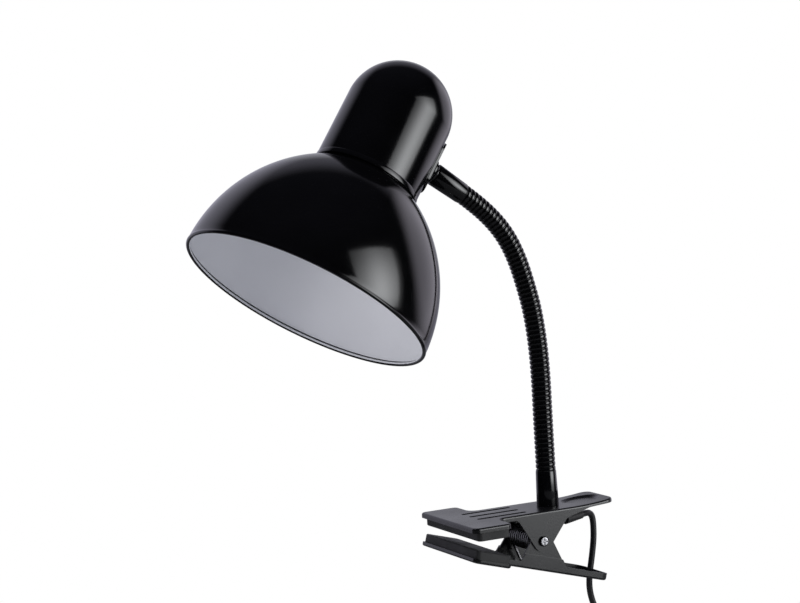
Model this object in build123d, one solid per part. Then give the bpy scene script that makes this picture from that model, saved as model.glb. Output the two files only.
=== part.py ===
from build123d import *
import math
import os

os.makedirs("parts", exist_ok=True)

# A clamp lamp: a spring clamp of pressed steel, a ribbed flexible arm and a bell shade on a swivel.
# Millimetres and degrees. X runs from the jaws to the handles, Z along the foot of the arm, and the
# origin is the centre of the upper pad's lower face.

# Clearances
running = 0.05        # a shaft in a hole that turns on it
loose = 0.1           # a hole round a fixed thread
cord_play = 0.05      # a hole round the cord
pad_margin = 0.2      # a pad to the flange round it
turn_gap = 0.1        # two faces that turn past each other

# Pressed halves of the clamp
sheet = 1.2
jaw_half_width = 39.5
jaw_depth = 26.0
jaw_lip = 2.0
lower_depth = 28.0
jaw_corner = 4.0
body_half_width = 18.6
neck_radius = 6.0
handle_corner = 7.0
edge_radius = 1.4
ear_radius = 7.0
flank_radius = 4.0

# Upper half
upper_pad_height = 7.8
upper_flange = 3.3
upper_rear = 104.0
rise_start = 72.0
handle_rise = 2.3
handle_hem = 3.0
handle_flange = 2.2
ear_front_x = 28.5
ear_rear_x = 65.5
ear_rear_depth = 6.8
taper_end_x = 84.0
groove_spacing = 11.0
groove_front = 2.0
groove_back = 39.0
groove_width = 3.6
groove_depth = 0.9
recess_x = 87.0
recess_length = 26.0
recess_width = 21.0
recess_depth = 1.2

# Pivot and lower half
pivot_x = 46.5
upper_pivot_height = 19.7
lower_pivot_height = 19.6
rest_angle = 16.1
lower_pad_height = 7.0
lower_flange = 2.8
lower_wall = 4.2
lower_handle_wall = 4.9
lower_handle = 57.0
lower_ear_front = 13.5
lower_ear_rear = 21.8
joggle_level = 10.0
ear_reach = 30.0
ear_clearance = 0.3

# Screw, nut and spring of the pivot
screw_radius = 2.0
screw_head_radius = 3.4
screw_head_height = 1.9
cross_width = 0.8
cross_depth = 1.0
pivot_nut_flats = 7.0
pivot_nut_height = 3.2
screw_tail = 1.0
wire = 2.0
wire_sides = 8
spring_radius = 7.6
spring_pitch = 2.6
spring_start = 140.0
spring_turn = 3303.9
spring_steps = 19
leg_rest = 0.1

# Threaded tubes and what is on them
nipple_radius = 5.0
nipple_bore = 3.3
nipple_grip = 9.0
nipple_nut_flats = 14.0
nipple_nut_height = 3.0
washer_radius = 9.0
washer_height = 1.0
nipple_tail = 0.4

# Arm
arm_x = 62.0
ferrule_length = 23.8
ferrule_base_radius = 7.0
ferrule_end_radius = 6.45
ferrule_edge = 0.5
spigot_length = 10.0
link_length = 25.6
arm_turns = [0, 0, 3.0, 4.6, 8.8, 11.0, 13.6, 13.6]
crest_radius = 6.25
valley_radius = 5.6
rib_pitch = 3.2
rib_groove = 0.8
ball_radius = 4.7
socket_radius = 4.78
face_back = 2.1
rim_back = 0.5
link_bore = 2.5
cable_radius = 2.2
cable_end = 3.0
cable_start = 4.8

# Head, measured along the shade's axis from the rim, and outwards from it
swivel_rest = 6.6
swivel_height = 119.0
shade_wall = 0.7
bell_arc = 102.4
bell_arc_inset = 20.3
bell_arc_height = 0.3
rim_bead = 1.25
neck_play = 0.2
neck_length = 6.0
cap_radius = 35.1
cap_seam = 0.4
cap_above_swivel = 20.55
dome_height = 33.9
hem_thickness = 0.35
hem_height = 3.0
plate_seat = 0.2
plate_thickness = 1.3
plate_height = 36.0
plate_width = 33.0
plate_corner = 8.0
collar_radius = 8.8
collar_end_radius = 6.6
collar_length = 4.37
collar_band = 0.9

# Lampholder and its bracket
bracket_width = 14.0
bracket_thickness = 1.5
bracket_drop = 11.0
bracket_rise = 19.5
bracket_reach = 8.0
bracket_bend = 2.5
bracket_play = 0.2
head_washer_radius = 8.0
holder_radius = 18.6
holder_mouth_radius = 16.6
holder_wall = 1.8
holder_cap_height = 20.0
holder_body_height = 32.0
holder_neck_radius = 9.0
holder_neck_height = 4.0
shell_radius = 13.3
shell_wall = 0.9
shell_set_back = 2.0
insert_height = 8.0
insert_play = 0.2
contact_width = 5.0
contact_thickness = 0.6
contact_spring = 3.0
contact_clear = 0.5

# Cord: its free points are chosen by hand, from the foot of the arm to the plug
cord_radius = 2.2
sleeve_start_radius = 3.5
sleeve_end_radius = 2.75
sleeve_start_x = 76.0
sleeve_end_x = 92.0
switch_x = 106.5
switch_y = 12.5
switch_top_z = -82.0
switch_length = 65.0
switch_width = 22.0
switch_depth = 17.0
switch_wall = 1.8
switch_edge = 4.0
switch_entry = 6.0
rocker_length = 18.0
rocker_width = 10.0
rocker_play = 0.3
rocker_tilt = 7.0
rocker_pin_radius = 1.0
coil_radius = 37.2
coil_pitch = 4.9
coil_turns_in = 3.75
coil_turns_out = 3.125
coil_z = -180.0
cord_sides = 8
tie_width = 8.0
tie_thickness = 1.0
tie_play = 0.4
plug_length = 34.0
plug_width = 26.0
plug_depth = 13.0
plug_neck_width = 11.0
plug_neck_depth = 8.0
plug_corner = 4.0
pin_radius = 2.0
pin_length = 19.0
pin_spacing = 18.6
pin_tip = 1.0
pin_root = 6.0
pin_root_radius = 1.5
pin_neck = 0.3

# Places that follow from the sizes above
plate_top = upper_pad_height + sheet
pivot_z = plate_top - upper_pivot_height
jaw_front = -jaw_depth / 2 - jaw_lip
jaw_back = jaw_depth / 2
lower_front = -jaw_depth / 2 - pivot_x
lower_back = lower_front + lower_depth
pad_half_width = jaw_half_width - sheet - pad_margin
upper_inner = body_half_width - sheet
lower_ear_outer = upper_inner - ear_clearance
lower_ear_inner = lower_ear_outer - sheet
ferrule_top = plate_top + ferrule_length
cap_straight_top = swivel_height + cap_above_swivel
bracket_bottom = swivel_height - bracket_drop
bracket_top = swivel_height + bracket_rise
lower_place = Pos(pivot_x, 0, pivot_z) * Rot(0, rest_angle, 0)


def turned(*points):
    """A solid of revolution about Z from its half section, given as (radius, height) points."""
    return revolve(Plane.XZ * make_face(Polyline(*points, close=True)), Axis.Z)


def across(face, half_width):
    """A face drawn in X and Z, made solid over plus and minus half_width in Y."""
    return extrude(Plane.XZ * face, half_width, both=True)


def bar(radius, start, end):
    """A round bar between two heights on Z."""
    return Pos(0, 0, (start + end) / 2) * Cylinder(radius, end - start)


def cross_bar(radius, half_length):
    """A round bar along Y, centred on the origin."""
    return Rot(90, 0, 0) * Cylinder(radius, 2 * half_length)


def hexagon(flats, bottom, height):
    """A hexagonal prism on Z, its upper corners turned off."""
    corner = flats / math.sqrt(3)
    prism = Pos(0, 0, bottom) * extrude(RegularPolygon(corner, 6), height)
    round_top = bar(corner, bottom, bottom + height)
    rim = [e for e in round_top.edges() if e.center().Z > bottom + height - 0.01]
    return prism & chamfer(rim, (corner - flats / 2) * 0.8)


def tangent_point(point, radius, side):
    """Where a line from point touches a circle round the origin, on the side given as 1 or -1."""
    angle = math.atan2(point[1], point[0]) + side * math.acos(radius / math.hypot(*point))
    return (radius * math.cos(angle), radius * math.sin(angle))


def t_plan(front, back, rear, inset):
    """A clamp half from above: wide jaw, narrow body, every edge moved in by inset."""
    jaw = jaw_half_width - inset
    body = body_half_width - inset
    half = [(front + inset, jaw), (back - inset, jaw), (back - inset, body), (rear - inset, body)]
    mirrored = [(x, -y) for x, y in reversed(half)]
    corner = jaw_corner - inset
    neck = neck_radius + inset
    end = handle_corner - inset
    radii = [corner, corner, neck, end, end, neck, corner, corner]
    return make_face(FilletPolyline(*half, *mirrored, radius=radii, close=True))


def slab(plan, bottom, top):
    """A plan made solid between two heights."""
    return Pos(0, 0, bottom) * extrude(plan, top - bottom)


def rise_centre():
    """Height of the centre of the arc that lifts the upper handle."""
    run = upper_rear - rise_start
    return plate_top + (run**2 + handle_rise**2) / (2 * handle_rise)


def top_at(x, drop=0):
    """Height of the upper half's top surface at x, or of the surface a distance drop inside it."""
    if x <= rise_start:
        return plate_top - drop
    radius = rise_centre() - plate_top + drop
    return rise_centre() - math.sqrt(radius**2 - (x - rise_start) ** 2)


def upper_profile():
    """Side view of the upper half: flange, ear, tapering skirt and curled handle end."""
    flange_z = plate_top - upper_flange
    front = (ear_front_x - pivot_x, flange_z - pivot_z)
    rear = (ear_rear_x - pivot_x, plate_top - ear_rear_depth - pivot_z)
    touch_front = tangent_point(front, ear_radius, 1)
    touch_rear = tangent_point(rear, ear_radius, -1)
    middle = (upper_rear + rise_start) / 2
    end_z = top_at(upper_rear)
    lines = [
        Line((jaw_front, plate_top), (rise_start, plate_top)),
        ThreePointArc((rise_start, plate_top), (middle, top_at(middle)), (upper_rear, end_z)),
        Line((upper_rear, end_z), (upper_rear, end_z - handle_hem)),
        Line((upper_rear, end_z - handle_hem), (taper_end_x, top_at(taper_end_x) - handle_flange)),
        Line((taper_end_x, top_at(taper_end_x) - handle_flange), (rear[0] + pivot_x, rear[1] + pivot_z)),
        Line((rear[0] + pivot_x, rear[1] + pivot_z), (touch_rear[0] + pivot_x, touch_rear[1] + pivot_z)),
        ThreePointArc(
            (touch_rear[0] + pivot_x, touch_rear[1] + pivot_z),
            (pivot_x, pivot_z - ear_radius),
            (touch_front[0] + pivot_x, touch_front[1] + pivot_z),
        ),
        Line((touch_front[0] + pivot_x, touch_front[1] + pivot_z), (ear_front_x, flange_z)),
        Line((ear_front_x, flange_z), (jaw_front, flange_z)),
        Line((jaw_front, flange_z), (jaw_front, plate_top)),
    ]
    face = make_face(lines)
    corners = [v for v in face.vertices() if abs(v.X - ear_front_x) < 0.01 or abs(v.X - ear_rear_x) < 0.01]
    return fillet(corners, flank_radius)


def upper_hollow(bottom):
    """Side view of the space under the upper half's sheet, open downwards."""
    middle = (upper_rear + rise_start) / 2
    inner_top = top_at(rise_start, sheet)
    rear_top = top_at(upper_rear, sheet)
    lines = [
        Line((jaw_front, inner_top), (rise_start, inner_top)),
        ThreePointArc((rise_start, inner_top), (middle, top_at(middle, sheet)), (upper_rear, rear_top)),
        Line((upper_rear, rear_top), (upper_rear, bottom)),
        Line((upper_rear, bottom), (jaw_front, bottom)),
        Line((jaw_front, bottom), (jaw_front, inner_top)),
    ]
    return make_face(lines)


def groove(growth, deeper):
    """The three pressed grooves, as bars with round ends, grown by a wall thickness."""
    radius = ((groove_width / 2) ** 2 + groove_depth**2) / (2 * groove_depth)
    level = plate_top - groove_depth + radius - deeper
    start = groove_front + groove_width / 2
    end = groove_back - groove_width / 2
    one = Pos((start + end) / 2, 0, level) * Rot(0, 90, 0) * Cylinder(radius + growth, end - start)
    one += Pos(start, 0, level) * Sphere(radius + growth)
    one += Pos(end, 0, level) * Sphere(radius + growth)
    return [Pos(0, y, 0) * one for y in (-groove_spacing, 0, groove_spacing)]


def thumb_recess(growth):
    """A shallow oval bowl pressed in the upper handle, grown by a wall thickness."""
    slope = math.degrees(math.asin((recess_x - rise_start) / (rise_centre() - plate_top)))
    place = Pos(recess_x, 0, top_at(recess_x)) * Rot(0, -slope, 0)
    wall = recess_depth + growth
    long_axis = recess_length / 2 + growth
    short_axis = recess_width / 2 + growth
    lid = Pos(0, 0, recess_depth) * Ellipse(long_axis + 2 * recess_depth, short_axis + 2 * recess_depth)
    floor = Pos(0, 0, -wall) * Ellipse(long_axis - 2 * wall, short_axis - 2 * wall)
    return place * loft([floor.face(), lid.face()], ruled=True)


def upper_jaw():
    """Upper half of the clamp: a flanged tray with ears, grooves and a thumb recess."""
    outer = slab(t_plan(jaw_front, jaw_back, upper_rear, 0), pivot_z * 2, plate_top * 2)
    outer &= across(upper_profile(), jaw_half_width)
    top = [
        e for e in outer.edges()
        if e.bounding_box().min.Z > plate_top - 0.05 and abs(e.center().X - rise_start) > 0.05
    ]
    outer = fillet(top, edge_radius)
    hollow = slab(t_plan(jaw_front, jaw_back, upper_rear, sheet), pivot_z * 2, plate_top * 2)
    hollow &= across(upper_hollow(pivot_z * 2), jaw_half_width)
    plate = outer - hollow
    under = slab(t_plan(jaw_front, jaw_back, upper_rear, sheet / 2), 0, plate_top - sheet / 2)
    for rib in groove(sheet, 0):
        plate += rib & under
    dimple = thumb_recess(sheet) & across(upper_hollow(0), jaw_half_width)
    plate += dimple
    for rib in groove(0, 0):
        plate -= rib
    plate -= thumb_recess(0)
    plate -= Pos(arm_x, 0, 0) * bar(nipple_radius + loose, 0, plate_top * 2)
    plate -= Pos(pivot_x, 0, pivot_z) * cross_bar(screw_radius + running, body_half_width * 2)
    return plate


def pad_block(depth, height):
    """A rubber pad for a jaw of a given depth, its edges rounded, from z 0 upwards."""
    block = Pos(0, 0, height / 2) * Box(depth - 2 * (sheet + pad_margin), 2 * pad_half_width, height)
    block = fillet(block.edges().filter_by(Axis.Z), jaw_corner - sheet)
    face = [e for e in block.edges() if e.center().Z < 0.01]
    return chamfer(face, 0.5)


def upper_pad():
    """The upper pad, relieved over the ribs under the grooves."""
    pad = pad_block(jaw_depth, upper_pad_height)
    for rib in groove(sheet, pad_margin):
        pad -= rib
    return pad


def lower_profile():
    """Side view of the lower half about the pivot, its outer face down."""
    face_z = -lower_pivot_height
    flange_z = face_z + lower_flange
    wall_z = face_z + lower_wall
    handle_z = face_z + lower_handle_wall
    front = (-lower_ear_front, wall_z)
    rear = (lower_ear_rear, handle_z)
    touch_front = tangent_point(front, ear_radius, -1)
    touch_rear = tangent_point(rear, ear_radius, 1)
    step = lower_back + neck_radius
    lines = [
        Polyline((lower_front, face_z), (lower_front, flange_z), (lower_back, flange_z), (step, wall_z)),
        Polyline((step, wall_z), front, touch_front),
        ThreePointArc(touch_front, (0, ear_radius), touch_rear),
        Polyline(touch_rear, rear, (lower_handle, handle_z), (lower_handle, face_z)),
        Line((lower_handle, face_z), (lower_front, face_z)),
    ]
    face = make_face([e for line in lines for e in line.edges()])
    corners = [
        v for v in face.vertices()
        if abs(v.X + lower_ear_front) < 0.01 or abs(v.X - lower_ear_rear) < 0.01
    ]
    return fillet(corners, flank_radius)


def lower_jaw():
    """Lower half of the clamp: a flanged tray whose ears step inwards past the upper ones."""
    side = lower_profile()
    face_z = -lower_pivot_height
    outer = slab(t_plan(lower_front, lower_back, lower_handle, 0), face_z, -joggle_level)
    outer &= across(side, jaw_half_width)
    bottom = [e for e in outer.edges() if e.bounding_box().max.Z < face_z + 0.05]
    outer = fillet(bottom, edge_radius)
    tray = outer - slab(t_plan(lower_front, lower_back, lower_handle, sheet), face_z + sheet, 0)
    shelf_z = -joggle_level - sheet
    ears = across(side, lower_ear_outer) - across(side, lower_ear_inner)
    ears &= Pos(0, 0, shelf_z / 2 + ear_radius) * Box(2 * ear_reach, 2 * ear_reach, -shelf_z + 2 * ear_radius)
    shelf = across(side, body_half_width) - across(side, lower_ear_inner)
    shelf &= Pos(0, 0, shelf_z + sheet / 2) * Box(2 * ear_reach, 2 * ear_reach, sheet)
    plate = tray + ears + shelf
    plate -= cross_bar(screw_radius + running, body_half_width)
    return lower_place * plate


def lower_pad():
    """The lower pad, on the floor of the lower jaw."""
    pad = Rot(180, 0, 0) * pad_block(lower_depth, lower_pad_height)
    floor = -lower_pivot_height + sheet
    return lower_place * Pos(lower_front + lower_depth / 2, 0, floor + lower_pad_height) * pad


def pivot_screw():
    """Cross-head screw through the four ears, its head on the near side."""
    reach = body_half_width + pivot_nut_height + screw_tail
    shank = bar(screw_radius, -reach, body_half_width)
    head = bar(screw_head_radius, body_half_width, body_half_width + screw_head_height)
    rim = [e for e in head.edges() if e.center().Z > body_half_width + screw_head_height - 0.01]
    head = fillet(rim, screw_head_height * 0.6)
    slot_z = body_half_width + screw_head_height
    slot = Box(2.4 * screw_radius, cross_width, 2 * cross_depth)
    head -= Pos(0, 0, slot_z) * (slot + Rot(0, 0, 90) * slot)
    return Pos(pivot_x, 0, pivot_z) * Rot(90, 0, 0) * (shank + head)


def pivot_nut():
    """Nut of the pivot screw, on the far ear."""
    nut = hexagon(pivot_nut_flats, 0, pivot_nut_height) - bar(screw_radius, -1, pivot_nut_height + 1)
    return Pos(pivot_x, body_half_width, pivot_z) * Rot(-90, 0, 0) * nut


def biarc(start, start_way, end, end_way):
    """Two arcs that join two points with the given directions."""
    chord = end - start
    ways = start_way + end_way
    spread = 2 * (1 - start_way.dot(end_way))
    along = chord.dot(ways)
    reach = (-along + math.sqrt(along**2 + spread * chord.dot(chord))) / spread
    joint = (start + end + (start_way - end_way) * reach) * 0.5
    joint_way = (end - end_way * reach - start - start_way * reach).normalized()
    return [TangentArc(start, joint, tangent=start_way), TangentArc(joint, end, tangent=joint_way)]


def wound_path(place, steps, way, lead_in, lead_out):
    """A winding through place(step), with straight ends of the given lengths."""
    points = [place(i) for i in range(steps + 1)]
    ways = [way(i) for i in range(steps + 1)]
    edges = [Line(points[0] - ways[0] * lead_in, points[0])]
    for i in range(steps):
        edges += biarc(points[i], ways[i], points[i + 1], ways[i + 1])
    edges.append(Line(points[-1], points[-1] + ways[-1] * lead_out))
    return edges


def swept(edges, section):
    """A section swept along joined edges from the first one's start."""
    path = Wire([edge for part in edges for edge in part.edges()])
    begin = edges[0]
    place = Plane(origin=begin @ 0, z_dir=begin % 0)
    return sweep(place * section, path=path)


def least_gap(edges, thickness, near):
    """Least distance from a winding's surface to itself, past neighbours within a length near."""
    points = []
    run = 0
    for edge in edges:
        for i in range(12):
            points.append((run + edge.length * i / 12, edge @ (i / 12)))
        run += edge.length
    pairs = [
        (a - b).length for i, (s, a) in enumerate(points) for t, b in points[i + 1:] if t - s > near
    ]
    return min(pairs) - thickness


def spring_place(angle):
    """Centre of the spring wire at an angle about the pivot."""
    turn = math.radians(angle)
    y = spring_pitch * (angle - spring_start - spring_turn / 2) / 360
    x = pivot_x + spring_radius * math.cos(turn)
    return Vector(x, y, pivot_z + spring_radius * math.sin(turn))


def spring_way(angle):
    """Direction of the spring wire at an angle about the pivot."""
    turn = math.radians(angle)
    rise = spring_pitch / (2 * math.pi)
    return Vector(-spring_radius * math.sin(turn), rise, spring_radius * math.cos(turn)).normalized()


def leg_length(point, way, normal, distance):
    """Length of a leg whose cut end lies just off a plane that is distance from the pivot."""
    slope = abs(way.dot(normal))
    clear = wire / 2 * math.sqrt(1 - slope**2) + leg_rest
    level = (point - Vector(pivot_x, 0, pivot_z)).dot(normal)
    return (distance - clear - level) / slope


def torsion_spring():
    """Wire spring round the pivot screw, one leg under each half's sheet."""
    step = spring_turn / spring_steps
    end = spring_start + spring_turn
    tilt = math.radians(rest_angle)
    up = Vector(0, 0, 1)
    down = Vector(-math.sin(tilt), 0, -math.cos(tilt))
    first = leg_length(
        spring_place(spring_start), spring_way(spring_start), up, upper_pivot_height - sheet
    )
    last = leg_length(spring_place(end), spring_way(end), down, lower_pivot_height - sheet)
    edges = wound_path(
        lambda i: spring_place(spring_start + i * step),
        spring_steps,
        lambda i: spring_way(spring_start + i * step),
        first,
        last,
    )
    gap = least_gap(edges[1:-1], wire, math.pi * spring_radius)
    print("spring: least gap to itself", round(gap, 2), "mm")
    return swept(edges, RegularPolygon(wire / 2, wire_sides))


def ferrule():
    """Tapered sleeve at either end of the arm, wide end at z 0."""
    body = turned(
        (nipple_bore, 0), (ferrule_base_radius, 0), (ferrule_end_radius, ferrule_length),
        (nipple_bore, ferrule_length),
    )
    body -= bar(nipple_radius, -1, nipple_grip)
    body -= bar(valley_radius, ferrule_length - spigot_length, ferrule_length + 1)
    lips = [e for e in body.edges().filter_by(GeomType.CIRCLE) if e.radius > ferrule_end_radius - 0.01]
    return fillet(lips, ferrule_edge)


def nipple(start, end):
    """Threaded tube between two heights on Z."""
    return bar(nipple_radius, start, end) - bar(nipple_bore, start - 1, end + 1)


def nipple_nut(bottom):
    """Thin nut on a threaded tube."""
    nut = hexagon(nipple_nut_flats, bottom, nipple_nut_height)
    return nut - bar(nipple_radius, bottom - 1, bottom + nipple_nut_height + 1)


def washer(radius, bottom):
    """Flat washer on a threaded tube."""
    ring = bar(radius, bottom, bottom + washer_height)
    return ring - bar(nipple_radius + loose, bottom - 1, bottom + washer_height + 1)


def lean_way(lean):
    """Direction of the arm where it leans by an angle in radians towards the jaws."""
    return Vector(-math.sin(lean), 0, math.cos(lean))


def link_starts():
    """Start point and lean of each link, and of the arm's end."""
    point = Vector(arm_x, 0, ferrule_top)
    lean = 0.0
    starts = []
    for turn in arm_turns:
        starts.append((point, lean))
        point = along_link(point, lean, turn, link_length)[0]
        lean += math.radians(turn)
    starts.append((point, lean))
    return starts


def along_link(start, lean, turn, distance):
    """Point and direction at a distance along a link, which runs straight past its two ends."""
    inside = min(max(distance, 0), link_length)
    angle = lean + math.radians(turn) * inside / link_length
    if turn == 0:
        point = start + lean_way(lean) * inside
    else:
        radius = link_length / math.radians(turn)
        swing = Vector(math.cos(angle) - math.cos(lean), 0, math.sin(angle) - math.sin(lean))
        point = start + swing * radius
    return point + lean_way(angle) * (distance - inside), lean_way(angle)


def link_path(start, lean, turn, first, last):
    """Centre line of a link from distance first to distance last."""

    def at(distance):
        return along_link(start, lean, turn, distance)[0]

    if turn == 0:
        return [Line(at(first), at(last))]
    arc_start = max(first, 0)
    arc_end = min(last, link_length)
    edges = [ThreePointArc(at(arc_start), at((arc_start + arc_end) / 2), at(arc_end))]
    if first < 0:
        edges.insert(0, Line(at(first), at(0)))
    if last > link_length:
        edges.append(Line(at(link_length), at(last)))
    return edges


def gooseneck(number):
    """One link of the arm: ribs, a socket at its start and a ball at its end."""
    start, lean = link_starts()[number]
    turn = arm_turns[number]
    is_first = number == 0
    is_last = number == len(arm_turns) - 1
    begin = 0 if is_first else -rim_back
    end = link_length if is_last else link_length - face_back
    count = round((end - begin) / rib_pitch)
    pitch = (end - begin) / count
    stations = [(begin - spigot_length, valley_radius)] if is_first else []
    for i in range(count):
        rib = begin + i * pitch
        stations.append((rib, valley_radius))
        stations.append((rib + rib_groove / 2, crest_radius))
        stations.append((rib + pitch - rib_groove / 2, crest_radius))
    stations.append((end, valley_radius))
    if is_last:
        stations.append((end + spigot_length, valley_radius))
    rings = []
    for distance, radius in stations:
        point, way = along_link(start, lean, turn, distance)
        rings.append((Plane(origin=point, x_dir=(0, 1, 0), z_dir=way) * Circle(radius)).face())
    link = loft(rings, ruled=True)
    if not is_last:
        link += Pos(*along_link(start, lean, turn, link_length)[0]) * Sphere(ball_radius)
    if not is_first:
        link -= Pos(*start) * Sphere(socket_radius)
    reach = spigot_length + 1
    link -= swept(link_path(start, lean, turn, -reach, link_length + reach), Circle(link_bore))
    return link


def arm_cable(number):
    """The lamp cable inside one link, and inside the ferrules at the arm's two ends."""
    start, lean = link_starts()[number]
    first = cable_start
    last = link_length + cable_end
    if number == 0:
        first = nipple_bottom() - ferrule_top
    if number == len(arm_turns) - 1:
        last = link_length + head_reach() - nipple_inner_end()
    return swept(link_path(start, lean, arm_turns[number], first, last), Circle(cable_radius))


def nipple_bottom():
    """Height of the lower end of the threaded tube in the clamp."""
    return plate_top - sheet - washer_height - nipple_nut_height - nipple_tail


def collar_start():
    """Distance of the swivel collar's face from the shade's axis."""
    return cap_radius + plate_seat + plate_thickness + turn_gap


def head_reach():
    """Distance of the arm's end from the shade's axis."""
    return collar_start() + collar_length + ferrule_length


def bracket_outer():
    """Distance of the bracket's outer face from the shade's axis."""
    chord = (cap_radius - shade_wall) ** 2 - (bracket_width / 2) ** 2
    return math.sqrt(chord) - bracket_play


def nipple_inner_end():
    """Distance of the head tube's inner end from the shade's axis."""
    stack = bracket_thickness + turn_gap + washer_height + nipple_nut_height + nipple_tail
    return bracket_outer() - stack


def head_plane():
    """The shade's frame: Z along its axis from the rim to the dome, X towards the arm."""
    end, lean = link_starts()[-1]
    outwards = lean_way(lean) * -1
    tilt = math.radians(swivel_rest)
    axis = Vector(math.cos(lean), 0, math.sin(lean)) * math.cos(tilt) + Vector(0, math.sin(tilt), 0)
    crossing = end - outwards * head_reach()
    return Plane(origin=crossing - axis * swivel_height, x_dir=outwards, z_dir=axis)


def on_side(shape):
    """A shape made along Z, turned to lie along the head's X at the swivel's height."""
    return Pos(0, 0, swivel_height) * Rot(0, 90, 0) * shape


def side_hole(play):
    """A hole for the threaded tube through the head's side."""
    return on_side(bar(nipple_radius + play, 0, 2 * cap_radius))


def swivel_collar():
    """Flared collar between the ferrule and the saddle plate."""
    profile = [
        Polyline((nipple_radius, collar_length), (nipple_radius, 0), (collar_radius, 0), (collar_radius, collar_band)),
        TangentArc((collar_end_radius, collar_length), (collar_radius, collar_band), tangent=(0, -1)),
        Line((collar_end_radius, collar_length), (nipple_radius, collar_length)),
    ]
    face = make_face([e for line in profile for e in line.edges()])
    collar = revolve(Plane.XZ * face, Axis.Z)
    return on_side(Pos(0, 0, collar_start()) * collar)


def saddle_plate():
    """Curved plate on the side of the cap."""
    inner = cap_radius + plate_seat
    outer = inner + plate_thickness
    low = swivel_height - plate_height / 2
    high = swivel_height + plate_height / 2
    ring = bar(outer, low, high) - bar(inner, low - 1, high + 1)
    blank = on_side(Pos(0, 0, inner / 2) * extrude(
        RectangleRounded(plate_height, plate_width, plate_corner), outer
    ))
    return (ring & blank) - side_hole(running)


def bell_radius(height, inset=0):
    """Radius of the bell's outer arc at a height, or of an arc inset inside it."""
    return math.sqrt((bell_arc - inset) ** 2 - (height - bell_arc_height) ** 2) - bell_arc_inset


def bell_height(radius, inset=0):
    """Height at which the bell's arc reaches a radius."""
    return math.sqrt((bell_arc - inset) ** 2 - (radius + bell_arc_inset) ** 2) + bell_arc_height


def shade_bell():
    """Flared bell with a rolled rim and a neck that stands in the cap."""
    neck = cap_radius - shade_wall - neck_play
    neck_in = neck - shade_wall
    shoulder = bell_height(neck)
    shoulder_in = bell_height(neck_in, shade_wall)
    neck_top = shoulder + neck_length
    middle = shoulder / 2
    lines = [
        ThreePointArc((bell_radius(0), 0), (bell_radius(middle), middle), (neck, shoulder)),
        Polyline((neck, shoulder), (neck, neck_top), (neck_in, neck_top), (neck_in, shoulder_in)),
        ThreePointArc(
            (neck_in, shoulder_in),
            (bell_radius(middle, shade_wall), middle),
            (bell_radius(0, shade_wall), 0),
        ),
        Line((bell_radius(0, shade_wall), 0), (bell_radius(0), 0)),
    ]
    face = make_face([e for line in lines for e in line.edges()])
    bell = revolve(Plane.XZ * face, Axis.Z)
    bead_at = bell_radius(0) - rim_bead + hem_thickness
    bead = revolve(Plane.XZ * (Pos(bead_at, 0) * Circle(rim_bead)), Axis.Z)
    return bell + bead


def shade_cap():
    """Cylinder with a round dome, hemmed where it meets the bell."""
    bottom = bell_height(cap_radius - shade_wall - neck_play) + cap_seam
    inner = cap_radius - shade_wall
    hem = cap_radius + hem_thickness
    top = cap_straight_top
    dome = (cap_radius**2 + dome_height**2) / (2 * dome_height)
    centre = top + dome_height - dome
    slant = math.radians(45)
    outer_way = (dome * math.sin(slant), centre + dome * math.cos(slant))
    inner_way = (outer_way[0] - shade_wall * math.sin(slant), outer_way[1] - shade_wall * math.cos(slant))
    inner_top = centre + math.sqrt((dome - shade_wall) ** 2 - inner**2)
    lines = [
        Polyline(
            (inner, inner_top), (inner, bottom), (hem, bottom), (hem, bottom + hem_height),
            (cap_radius, bottom + hem_height + hem_thickness), (cap_radius, top),
        ),
        ThreePointArc((cap_radius, top), outer_way, (0, centre + dome)),
        Line((0, centre + dome), (0, centre + dome - shade_wall)),
        ThreePointArc((0, centre + dome - shade_wall), inner_way, (inner, inner_top)),
    ]
    face = make_face([e for line in lines for e in line.edges()])
    return revolve(Plane.XZ * face, Axis.Z) - side_hole(running)


def lampholder_bracket():
    """Bent strip: one leg on the cap's inner side, the other over the lampholder."""
    outer = bracket_outer()
    inner = outer - bracket_thickness
    under = bracket_top - bracket_thickness
    outline = make_face(Polyline(
        (outer, bracket_bottom), (outer, bracket_top), (-bracket_reach, bracket_top),
        (-bracket_reach, under), (inner, under), (inner, bracket_bottom), close=True,
    ))
    bend = [v for v in outline.vertices() if v.X > outer - 0.01 and v.Y > bracket_top - 0.01]
    outline = fillet(bend, bracket_bend)
    crook = [v for v in outline.vertices() if abs(v.X - inner) < 0.01 and abs(v.Y - under) < 0.01]
    outline = fillet(crook, bracket_bend - bracket_thickness)
    strip = across(outline, bracket_width / 2)
    ends = [
        e for e in strip.edges()
        if abs(e.center().X + bracket_reach) < 0.01 and e.length < bracket_thickness + 0.01
    ]
    ends += [
        e for e in strip.edges()
        if abs(e.center().Z - bracket_bottom) < 0.01 and e.length < bracket_thickness + 0.01
    ]
    strip = fillet(ends, bracket_width / 3)
    strip -= side_hole(running)
    return strip - bar(nipple_radius + loose, under - 1, bracket_top + 1)


def holder_top():
    """Height of the lampholder's upper end, under the bracket."""
    return bracket_top - bracket_thickness


def holder_joint():
    """Height at which the lampholder's cap and body meet."""
    return holder_top() - holder_cap_height


def holder_mouth():
    """Height of the lampholder's open mouth."""
    return holder_joint() - holder_body_height


def lampholder_cap():
    """Upper cap of the lampholder, screwed on the short threaded tube."""
    top = holder_top()
    joint = holder_joint()
    inner = holder_radius - holder_wall
    shoulder = joint + holder_cap_height / 2
    neck_z = top - holder_neck_height
    return turned(
        (inner, joint), (holder_radius, joint), (holder_radius, shoulder),
        (holder_neck_radius, neck_z + holder_wall / 2), (holder_neck_radius, top), (nipple_radius, top),
        (nipple_radius, neck_z - holder_wall / 2), (inner, shoulder - holder_wall / 2),
    )


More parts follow.
